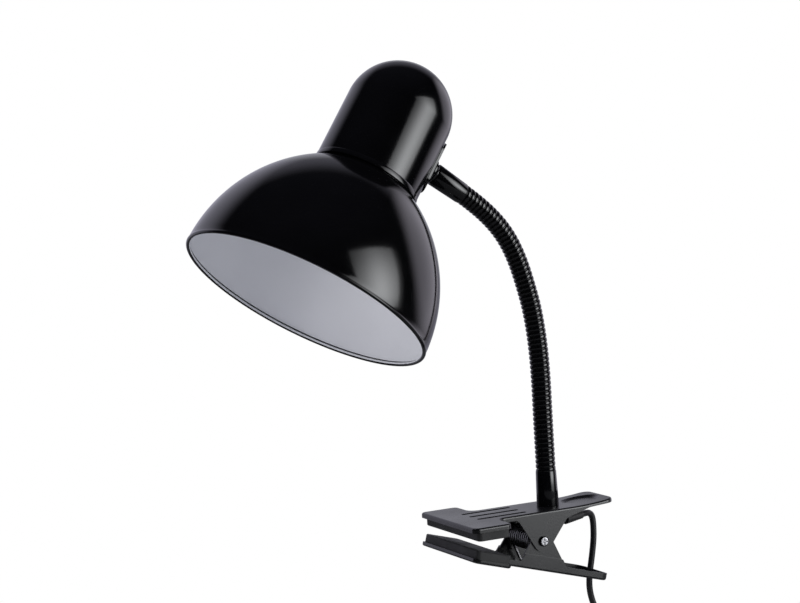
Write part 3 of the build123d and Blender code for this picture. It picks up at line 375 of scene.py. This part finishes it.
cord_pvc = finish_material(
    "cord_pvc", (0.008, 0.008, 0.009), (0.012, 0.012, 0.013), 0.26, 0.36, patches=60, grain=1600, depth=0.00002
)
moulded_plastic = finish_material(
    "moulded_plastic", (0.011, 0.011, 0.012), (0.015, 0.015, 0.016), 0.34, 0.44, patches=50, grain=2600, depth=0.00003
)
sleeve_rubber = finish_material(
    "sleeve_rubber", (0.010, 0.010, 0.010), (0.015, 0.015, 0.015), 0.42, 0.55, patches=80, grain=1500, depth=0.00002
)
pin_nickel = finish_material(
    "pin_nickel", (0.66, 0.65, 0.62), (0.60, 0.59, 0.56), 0.14, 0.26, patches=90, grain=2000, depth=0.000006,
    metal=1.0,
)
cord = free_cord("cord", exit_route + middle_route + coil_route() + tail_route, CORD_RADIUS)
cord.data.materials.append(cord_pvc)
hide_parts("cord_run_1", "cord_run_2", "cord_coil", "cord_run_3")
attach(cord, "clamp")
dress(moulded_plastic, "switch_top", "switch_bottom", "switch_rocker", "plug_body")
dress(sleeve_rubber, "cord_sleeve", "cord_tie")
dress(pin_nickel, "plug_pins")

# Clamp halves. Each is one pressing of 1.2 mm steel with turned-down flanges and two ears, in a
# satin black paint. The screw holds the ears together.
satin_enamel = finish_material(
    "satin_enamel", (0.0045, 0.0045, 0.005), (0.007, 0.007, 0.0078), 0.22, 0.3, patches=30, grain=700, depth=0.00002,
    Specular_IOR_Level=0.68,
)
dress(satin_enamel, "upper_jaw", "lower_jaw")

# Clamp pads. Two blocks of black rubber with a fine moulded grain, held by the flanges round them.
pad_rubber = finish_material(
    "pad_rubber", (0.010, 0.010, 0.010), (0.017, 0.017, 0.017), 0.52, 0.7, patches=90, grain=1300, depth=0.00006
)
dress(pad_rubber, "upper_pad", "lower_pad")

# Pivot screw and nut. A zinc-plated screw with a cross in its round head goes through the four ears.
zinc_plate = finish_material(
    "zinc_plate", (0.55, 0.55, 0.57), (0.44, 0.44, 0.46), 0.3, 0.46, patches=220, grain=2500, depth=0.00001,
    metal=1.0,
)
dress(zinc_plate, "pivot_nut")
# Beyond a radius from its axis the screw is coloured black, so the bright finish ends at that radius
PIVOT = Vector((0.0465, 0, -0.0107))
SCREW_BRIGHT = 0.00265
SCREW_OUTER_BLACK = (0.006, 0.006, 0.007, 1)
screw_finish = zinc_plate.copy()
screw_finish.name = "pivot_screw_finish"
tree = screw_finish.node_tree
shader = [n for n in tree.nodes if n.type == "BSDF_PRINCIPLED"][0]
look = shader.inputs["Base Color"].links[0].from_socket
place = add_node(tree, "ShaderNodeTexCoord").outputs["Object"]
place = add_node(tree, "ShaderNodeVectorMath", {"operation": "SUBTRACT"}, _0=place, _1=PIVOT).outputs[0]
place = add_node(tree, "ShaderNodeVectorMath", {"operation": "MULTIPLY"}, _0=place, _1=(1, 0, 1)).outputs[0]
place = add_node(tree, "ShaderNodeVectorMath", {"operation": "LENGTH"}, _0=place).outputs["Value"]
ring = add_node(
    tree, "ShaderNodeMapRange", Value=place, From_Min=SCREW_BRIGHT, From_Max=SCREW_BRIGHT + 0.0001
).outputs[0]
tone = add_node(
    tree, "ShaderNodeMix", {"data_type": "RGBA"}, _0=ring, _6=look, _7=SCREW_OUTER_BLACK
).outputs[2]
tree.links.new(tone, shader.inputs["Base Color"])
dress(screw_finish, "pivot_screw")

# Torsion spring. Bright drawn wire of 2 mm in nine turns round the screw, a leg up under the upper
# half and a leg down on the lower one. The coil winds up as the jaws open.
WIRE_RADIUS = 0.001
SPRING_RADIUS = 0.0076
SPRING_PITCH = 0.0026
SPRING_START = 140.0
SPRING_TURN = 3303.9
SPRING_STEPS_PER_TURN = 28
WIRE_SIDES = 14
LEG_LENGTH = 0.0167
shape = bmesh.new()
start = math.radians(SPRING_START)
rise = SPRING_PITCH / (2 * math.pi)
foot_way = Vector((-SPRING_RADIUS * math.sin(start), rise, SPRING_RADIUS * math.cos(start))).normalized()
half_coil = SPRING_PITCH * SPRING_TURN / 720
foot_place = PIVOT + Vector((SPRING_RADIUS * math.cos(start), -half_coil, SPRING_RADIUS * math.sin(start)))
ring = bmesh.ops.create_circle(shape, cap_ends=False, segments=WIRE_SIDES, radius=WIRE_RADIUS)["verts"]
seat = Matrix.Translation(foot_place) @ foot_way.to_track_quat("Z", "Y").to_matrix().to_4x4()
bmesh.ops.transform(shape, matrix=seat, verts=ring)
steps = round(SPRING_STEPS_PER_TURN * SPRING_TURN / 360)
wound = bmesh.ops.spin(
    shape, geom=list(shape.edges), cent=PIVOT, axis=(0, -1, 0), dvec=(0, 2 * half_coil / steps, 0),
    angle=math.radians(SPRING_TURN), steps=steps, use_merge=False, use_duplicate=False,
)
head_edges = [e for e in wound["geom_last"] if isinstance(e, bmesh.types.BMEdge)]
foot_edges = [e for e in shape.edges if e.is_boundary and e not in head_edges]
end = math.radians(SPRING_START + SPRING_TURN)
head_way = Vector((-SPRING_RADIUS * math.sin(end), rise, SPRING_RADIUS * math.cos(end))).normalized()
for edges, way_out in ((foot_edges, -foot_way), (head_edges, head_way)):
    leg = bmesh.ops.extrude_edge_only(shape, edges=edges)["geom"]
    tip = [v for v in leg if isinstance(v, bmesh.types.BMVert)]
    bmesh.ops.translate(shape, vec=way_out * LEG_LENGTH, verts=tip)
    bmesh.ops.contextual_create(shape, geom=[e for e in leg if isinstance(e, bmesh.types.BMEdge) and e.is_boundary])
bmesh.ops.recalc_face_normals(shape, faces=shape.faces)


def finished(name, shape, material, smooth_angle=35):
    """A mesh object from a bmesh, smooth up to an angle between faces."""
    mesh = bpy.data.meshes.new(name)
    shape.to_mesh(mesh)
    shape.free()
    mesh.polygons.foreach_set("use_smooth", [True] * len(mesh.polygons))
    mesh.set_sharp_from_angle(angle=math.radians(smooth_angle))
    mesh.materials.append(material)
    made = bpy.data.objects.new(name, mesh)
    scene.collection.objects.link(made)
    return made


spring_wire = finish_material(
    "spring_wire", (0.55, 0.55, 0.56), (0.42, 0.42, 0.43), 0.2, 0.36, patches=300, grain=3000, depth=0.00001,
    metal=1.0,
)
spring = finished("jaw_spring", shape, spring_wire)
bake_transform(spring)
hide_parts("torsion_spring")

# Foot and head fittings of the arm. Plated threaded tubes, washers and thin nuts hold the turned
# steel ferrules, which are stove enamelled in gloss black like the arm.
gloss_enamel = finish_material(
    "gloss_enamel", (0.0012, 0.0012, 0.0015), (0.002, 0.002, 0.0024), 0.09, 0.125, patches=25, grain=450,
    depth=0.000012,
)
dress(gloss_enamel, "swivel_collar", "saddle_plate")
dress(zinc_plate, "base_nipple", "base_washer", "base_nut", "head_nipple", "head_washer", "head_nut")

# Flexible arm. A steel strip wound into a ribbed tube of 13.4 mm, enamelled gloss black. It is made in
# lengths that meet in the middle of the links.
LINK_LENGTH = 0.0256
ARM_TURNS = (0, 0, 3.0, 4.6, 8.8, 11.0, 13.6, 13.6)
ARM_FOOT = Vector((0.062, 0, 0.0328))
RIB_PITCH = 0.0032
SEAT = 0.0004
TUBE_WALL = 0.0009
STEPS_ROUND = 32
# Slack of the tube in its links, outwards: where it is most and how far it reaches, in links, and how much
BULGES = ((6.3, 1.6, 0.0016), (3.6, 2.6, 0.0004))


def along_arm(distance):
    """Centre of the arm at a distance from the foot ferrule's end, and how far it leans there."""
    spot = ARM_FOOT.copy()
    lean = 0.0
    left = distance
    for number, turn in enumerate(ARM_TURNS):
        last = number == len(ARM_TURNS) - 1
        part = left if distance < 0 else min(left, LINK_LENGTH)
        bend = math.radians(turn) * part / LINK_LENGTH
        if abs(bend) < 1e-9:
            spot += Vector((-math.sin(lean), 0, math.cos(lean))) * part
        else:
            radius = part / bend
            spot += Vector((math.cos(lean + bend) - math.cos(lean), 0, math.sin(lean + bend) - math.sin(lean))) * radius
        lean += bend
        left -= part
        if left <= 0:
            break
        if last:
            spot += Vector((-math.sin(lean), 0, math.cos(lean))) * left
    swing = 0.0
    for middle, half, height in BULGES:
        off = min(abs(distance / LINK_LENGTH - middle) / half, 1)
        swing += height * (math.cos(math.pi * off) + 1) / 2
    return spot + Vector((math.cos(lean), 0, math.sin(lean))) * swing, lean


# One rib, out from its groove and back, as distance along the arm and radius
rib = [
    (0, 0.00605), (0.0002, 0.00608), (0.00036, 0.00632), (0.00056, 0.00653), (0.00085, 0.00664), (0.0012, 0.0067),
    (0.0016, 0.00672), (0.0020, 0.0067), (0.00235, 0.00664), (0.00264, 0.00653), (0.00284, 0.00632),
    (0.0030, 0.00608), (RIB_PITCH, 0.00605),
]


def ribbed_tube(name, first, last):
    """A length of the wound tube from one distance along the arm to another."""
    shape = bmesh.new()
    turns = math.ceil((last - first) / RIB_PITCH) + 2
    begin = first - RIB_PITCH
    verts = [shape.verts.new((radius, 0, begin + z)) for z, radius in rib]
    for a, b in zip(verts, verts[1:]):
        shape.edges.new((a, b))
    bmesh.ops.rotate(
        shape, verts=shape.verts, cent=(0, 0, 0), matrix=Matrix.Rotation(2 * math.pi * begin / RIB_PITCH, 3, "Z")
    )
    bmesh.ops.spin(
        shape, geom=list(shape.edges), cent=(0, 0, 0), axis=(0, 0, 1), dvec=(0, 0, RIB_PITCH / STEPS_ROUND),
        angle=2 * math.pi * turns, steps=STEPS_ROUND * turns, use_merge=False, use_duplicate=False,
    )
    bmesh.ops.remove_doubles(shape, verts=shape.verts, dist=0.00001)
    for level, way_out in ((first, -1), (last, 1)):
        bmesh.ops.bisect_plane(
            shape, geom=shape.verts[:] + shape.edges[:] + shape.faces[:], plane_co=(0, 0, level),
            plane_no=(0, 0, way_out), clear_outer=True,
        )
    bmesh.ops.recalc_face_normals(shape, faces=shape.faces)
    # The wall grows away from the side that the faces look to, so they look out when it is added
    facing = sum(f.normal.x * f.calc_center_median().x + f.normal.y * f.calc_center_median().y for f in shape.faces)
    if facing < 0:
        bmesh.ops.reverse_faces(shape, faces=shape.faces)
    bmesh.ops.solidify(shape, geom=shape.faces[:], thickness=TUBE_WALL)
    bmesh.ops.recalc_face_normals(shape, faces=shape.faces)
    for vert in shape.verts:
        spot, lean = along_arm(vert.co.z)
        vert.co = spot + Vector((math.cos(lean), 0, math.sin(lean))) * vert.co.x + Vector((0, vert.co.y, 0))
    return finished(name, shape, gloss_enamel, smooth_angle=60)


LINKS = len(ARM_TURNS)
bodies = ["clamp"] + [f"arm_{i}" for i in range(2, LINKS + 1)]
cuts = [-SEAT] + [(i + 0.5) * LINK_LENGTH for i in range(LINKS)] + [LINKS * LINK_LENGTH + SEAT]
for i in range(LINKS + 1):
    tube = ribbed_tube(f"arm_tube_{i + 1}", cuts[i], cuts[i + 1])
    if i == 0:
        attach(tube, bodies[0])
    elif i == LINKS:
        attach(tube, bodies[-1])
    else:
        along_arm(cuts[i])[0]
        along_arm(cuts[i + 1])[0]
        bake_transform(tube)
    if i < LINKS:
        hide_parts(f"gooseneck_{i + 1}")
dress(cord_pvc, *[f"arm_cable_{i + 1}" for i in range(LINKS)])


def outline(shape, points, close=False):
    """Joined edges through points given as radius and height."""
    verts = [shape.verts.new((r, 0, z)) for r, z in points]
    pairs = list(zip(verts, verts[1:]))
    if close:
        pairs.append((verts[-1], verts[0]))
    for a, b in pairs:
        shape.edges.new((a, b))
    return verts


# Ferrules. Two alike turned steel sleeves, one on the clamp and one at the head, each with its wide end
# on its fitting. The wound tube butts on their narrow ends.
FERRULE_LENGTH = 0.0238
ferrule_half = [
    (0.00505, 0), (0.0072, 0), (0.0074, 0.0001), (0.0075, 0.0003), (0.0069, FERRULE_LENGTH - 0.0006),
    (0.00675, FERRULE_LENGTH - 0.0002), (0.0064, FERRULE_LENGTH), (0.0054, FERRULE_LENGTH), (0.0052, 0.0138),
    (0.00505, 0.0138),
]
arm_end, end_lean = along_arm(LINKS * LINK_LENGTH)
back = Vector((math.sin(end_lean), 0, -math.cos(end_lean)))
head_seat = Matrix.Translation(arm_end - back * FERRULE_LENGTH) @ back.to_track_quat("Z", "Y").to_matrix().to_4x4()
foot_seat = Matrix.Translation(ARM_FOOT - Vector((0, 0, FERRULE_LENGTH)))
for name, node, body, seat in (
    ("foot_sleeve", "base_ferrule", "clamp", foot_seat), ("head_sleeve", "head_ferrule", bodies[-1], head_seat),
):
    shape = bmesh.new()
    outline(shape, ferrule_half, close=True)
    bmesh.ops.spin(
        shape, geom=list(shape.edges), cent=(0, 0, 0), axis=(0, 0, 1), angle=2 * math.pi, steps=72,
        use_merge=True, use_duplicate=False,
    )
    bmesh.ops.remove_doubles(shape, verts=shape.verts, dist=0.00001)
    bmesh.ops.recalc_face_normals(shape, faces=shape.faces)
    bmesh.ops.transform(shape, matrix=seat, verts=shape.verts)
    sleeve = finished(name, shape, gloss_enamel)
    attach(sleeve, body)
    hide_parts(node)

# Shade cap. A deep-drawn steel cylinder with a round end, hemmed where it stands on the bell, in
# gloss black enamel outside and in.
HEAD_ORIGIN = Vector((-0.110516, -0.0136775, 0.163304))
HEAD_OUT = Vector((0.815128, 0, -0.579281))
HEAD_UP = Vector((0.575442, 0.114937, 0.809726))
head_turned = Matrix((HEAD_OUT, HEAD_UP.cross(HEAD_OUT), HEAD_UP)).transposed()
head_place = Matrix.Translation(HEAD_ORIGIN) @ head_turned.to_4x4()
SHADE_WALL = 0.0007
CAP_RADIUS = 0.0351
CAP_FOOT = 0.0874
CAP_SHOULDER = 0.13955
DOME_HEIGHT = 0.0339
HEM = 0.00035
HEM_HEIGHT = 0.003
STEPS_ROUND_SHADE = 144
DOME_STEPS = 28


def arc_from(shape, vert, centre, angle, steps):
    """Carries the outline on from a vertex along an arc about a centre given as radius and height."""
    made = bmesh.ops.spin(
        shape, geom=[vert], cent=(centre[0], 0, centre[1]), axis=(0, -1, 0), angle=angle, steps=steps,
        use_merge=False, use_duplicate=False,
    )
    return [v for v in made["geom_last"] if isinstance(v, bmesh.types.BMVert)][0]


def turn_shade(shape):
    """Turns the outline once round the shade's axis and puts it in its place on the head."""
    bmesh.ops.remove_doubles(shape, verts=shape.verts, dist=0.00001)
    bmesh.ops.spin(
        shape, geom=list(shape.edges), cent=(0, 0, 0), axis=(0, 0, 1), angle=2 * math.pi,
        steps=STEPS_ROUND_SHADE, use_merge=True, use_duplicate=False,
    )
    bmesh.ops.remove_doubles(shape, verts=shape.verts, dist=0.000002)
    bmesh.ops.recalc_face_normals(shape, faces=shape.faces)
    bmesh.ops.transform(shape, matrix=head_place, verts=shape.verts)


dome_radius = (CAP_RADIUS**2 + DOME_HEIGHT**2) / (2 * DOME_HEIGHT)
dome_centre = CAP_SHOULDER + DOME_HEIGHT - dome_radius
inner_radius = CAP_RADIUS - SHADE_WALL
inner_dome = dome_radius - SHADE_WALL
inner_shoulder = dome_centre + math.sqrt(inner_dome**2 - inner_radius**2)
shape = bmesh.new()
wall = outline(shape, [
    (inner_radius, inner_shoulder), (inner_radius, CAP_FOOT + 0.0002), (inner_radius + 0.0002, CAP_FOOT),
    (CAP_RADIUS + HEM - 0.0003, CAP_FOOT), (CAP_RADIUS + HEM, CAP_FOOT + 0.0003),
    (CAP_RADIUS + HEM, CAP_FOOT + HEM_HEIGHT - 0.0001), (CAP_RADIUS + HEM - 0.0001, CAP_FOOT + HEM_HEIGHT + 0.0001),
    (CAP_RADIUS, CAP_FOOT + HEM_HEIGHT + 0.00045), (CAP_RADIUS, CAP_SHOULDER),
])
outer_angle = math.pi / 2 - math.asin((CAP_SHOULDER - dome_centre) / dome_radius)
arc_from(shape, wall[-1], (0, dome_centre), outer_angle, DOME_STEPS)
inner_angle = math.pi / 2 - math.asin((inner_shoulder - dome_centre) / inner_dome)
arc_from(shape, wall[0], (0, dome_centre), inner_angle, DOME_STEPS)
turn_shade(shape)
cap = finished("shade_cap_shell", shape, gloss_enamel)
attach(cap, "head")
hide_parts("shade_cap")

# Shade bell. A spun steel bell whose neck stands inside the cap, its edge rolled outwards into a bead.
# It is gloss black outside and white inside; a narrow black band on the inner wall just above the bead is painted shade
# in the groove behind it.
BELL_ARC = 0.1024
BELL_INSET = 0.0203
BELL_LEVEL = 0.0003
BEAD = 0.00125
NECK_RADIUS = 0.0342
NECK_LENGTH = 0.006
# Angles about the arc's centre at which the outer wall, the groove and the inner wall start
OUTER_START = 0.011
GROOVE_START = 0.0135
INNER_START = 0.0185
# Angles about the bead's centre at which the bead starts, and how far round it goes
BEAD_START = 0.6
BEAD_TURN = math.pi + 1.55
WALL_STEPS = 40
BEAD_STEPS = 22
# The white wall starts at this height, and the black below it is painted shade in the groove behind the bead; the bead
# is white as far in and as far down as this
PAINTED_GROOVE_SHADE_TOP = 0.0022
BEAD_BLACK = 0.0003
white_enamel = finish_material(
    "white_enamel", (0.755, 0.76, 0.785), (0.73, 0.735, 0.76), 0.3, 0.4, patches=18, grain=400, depth=0.00002
)


def bell_angle(radius, arc):
    """Angle above the level of the bell's arc centre at which an arc reaches a radius."""
    return math.acos((radius + BELL_INSET) / arc)


arc_centre = (-BELL_INSET, BELL_LEVEL)
rim_radius = math.sqrt(BELL_ARC**2 - BELL_LEVEL**2) - BELL_INSET
bead_centre = (rim_radius - BEAD + HEM, 0)
inner_arc = BELL_ARC - SHADE_WALL
shape = bmesh.new()
outer_foot = shape.verts.new((
    arc_centre[0] + BELL_ARC * math.cos(OUTER_START), 0, BELL_LEVEL + BELL_ARC * math.sin(OUTER_START)
))
neck_outer = arc_from(shape, outer_foot, arc_centre, bell_angle(NECK_RADIUS, BELL_ARC) - OUTER_START, WALL_STEPS)
inner_foot = shape.verts.new((
    arc_centre[0] + inner_arc * math.cos(INNER_START), 0, BELL_LEVEL + inner_arc * math.sin(INNER_START)
))
inner_turn = bell_angle(NECK_RADIUS - SHADE_WALL, inner_arc) - INNER_START
neck_inner = arc_from(shape, inner_foot, arc_centre, inner_turn, WALL_STEPS)
neck_top = neck_outer.co.z + NECK_LENGTH
top_outer = shape.verts.new((NECK_RADIUS, 0, neck_top))
top_inner = shape.verts.new((NECK_RADIUS - SHADE_WALL, 0, neck_top))
for a, b in ((neck_outer, top_outer), (top_outer, top_inner), (top_inner, neck_inner)):
    shape.edges.new((a, b))
bead_start = shape.verts.new((bead_centre[0] + BEAD * math.cos(BEAD_START), 0, BEAD * math.sin(BEAD_START)))
bead_end = arc_from(shape, bead_start, bead_centre, -BEAD_TURN, BEAD_STEPS)
groove = shape.verts.new((
    arc_centre[0] + inner_arc * math.cos(GROOVE_START), 0, BELL_LEVEL + inner_arc * math.sin(GROOVE_START)
))
shape.edges.new((outer_foot, bead_start))
shape.edges.new((bead_end, groove))
shape.edges.new((groove, inner_foot))
turn_shade(shape)
bell = finished("shade_bell_shell", shape, gloss_enamel, smooth_angle=40)
bell.data.materials.append(white_enamel)
to_head = head_place.inverted()
for face in bell.data.polygons:
    spot = to_head @ face.center
    out = math.hypot(spot.x, spot.y)
    inside = math.hypot(out + BELL_INSET, spot.z - BELL_LEVEL) < BELL_ARC - SHADE_WALL / 2
    bead_in = out < bead_centre[0] - BEAD_BLACK and -BEAD_BLACK < spot.z < BEAD
    on_bead = math.hypot(out - bead_centre[0], spot.z) < BEAD + 0.0001
    # Inner wall faces below the groove-shade height keep the black: painted shade in the groove behind the bead
    if (bead_in and on_bead) or (inside and spot.z > PAINTED_GROOVE_SHADE_TOP):
        face.material_index = 1
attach(bell, "head")
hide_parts("shade_bell")

# Lampholder. A bent strip behind the cap's wall carries a black moulded E27 holder with a ceramic
# insert, a brass shell and a sprung tongue; a short plated tube and a nut hold it, and the lamp
# cable goes over the strip into its top.
holder_plastic = finish_material(
    "holder_plastic", (0.012, 0.012, 0.012), (0.018, 0.018, 0.018), 0.2, 0.3, patches=60, grain=1500, depth=0.00002
)
glazed_ceramic = finish_material(
    "glazed_ceramic", (0.80, 0.78, 0.73), (0.74, 0.72, 0.66), 0.14, 0.26, patches=120, grain=700, depth=0.00003
)
bright_brass = finish_material(
    "bright_brass", (0.78, 0.60, 0.30), (0.68, 0.50, 0.24), 0.2, 0.32, patches=150, grain=1800, depth=0.00001,
    metal=1.0,
)
dress(zinc_plate, "lampholder_bracket", "holder_nipple", "holder_nut")
dress(holder_plastic, "lampholder_cap", "lampholder_body")
dress(glazed_ceramic, "lampholder_insert")
dress(bright_brass, "centre_contact", "threaded_shell")
dress(cord_pvc, "lamp_wire")
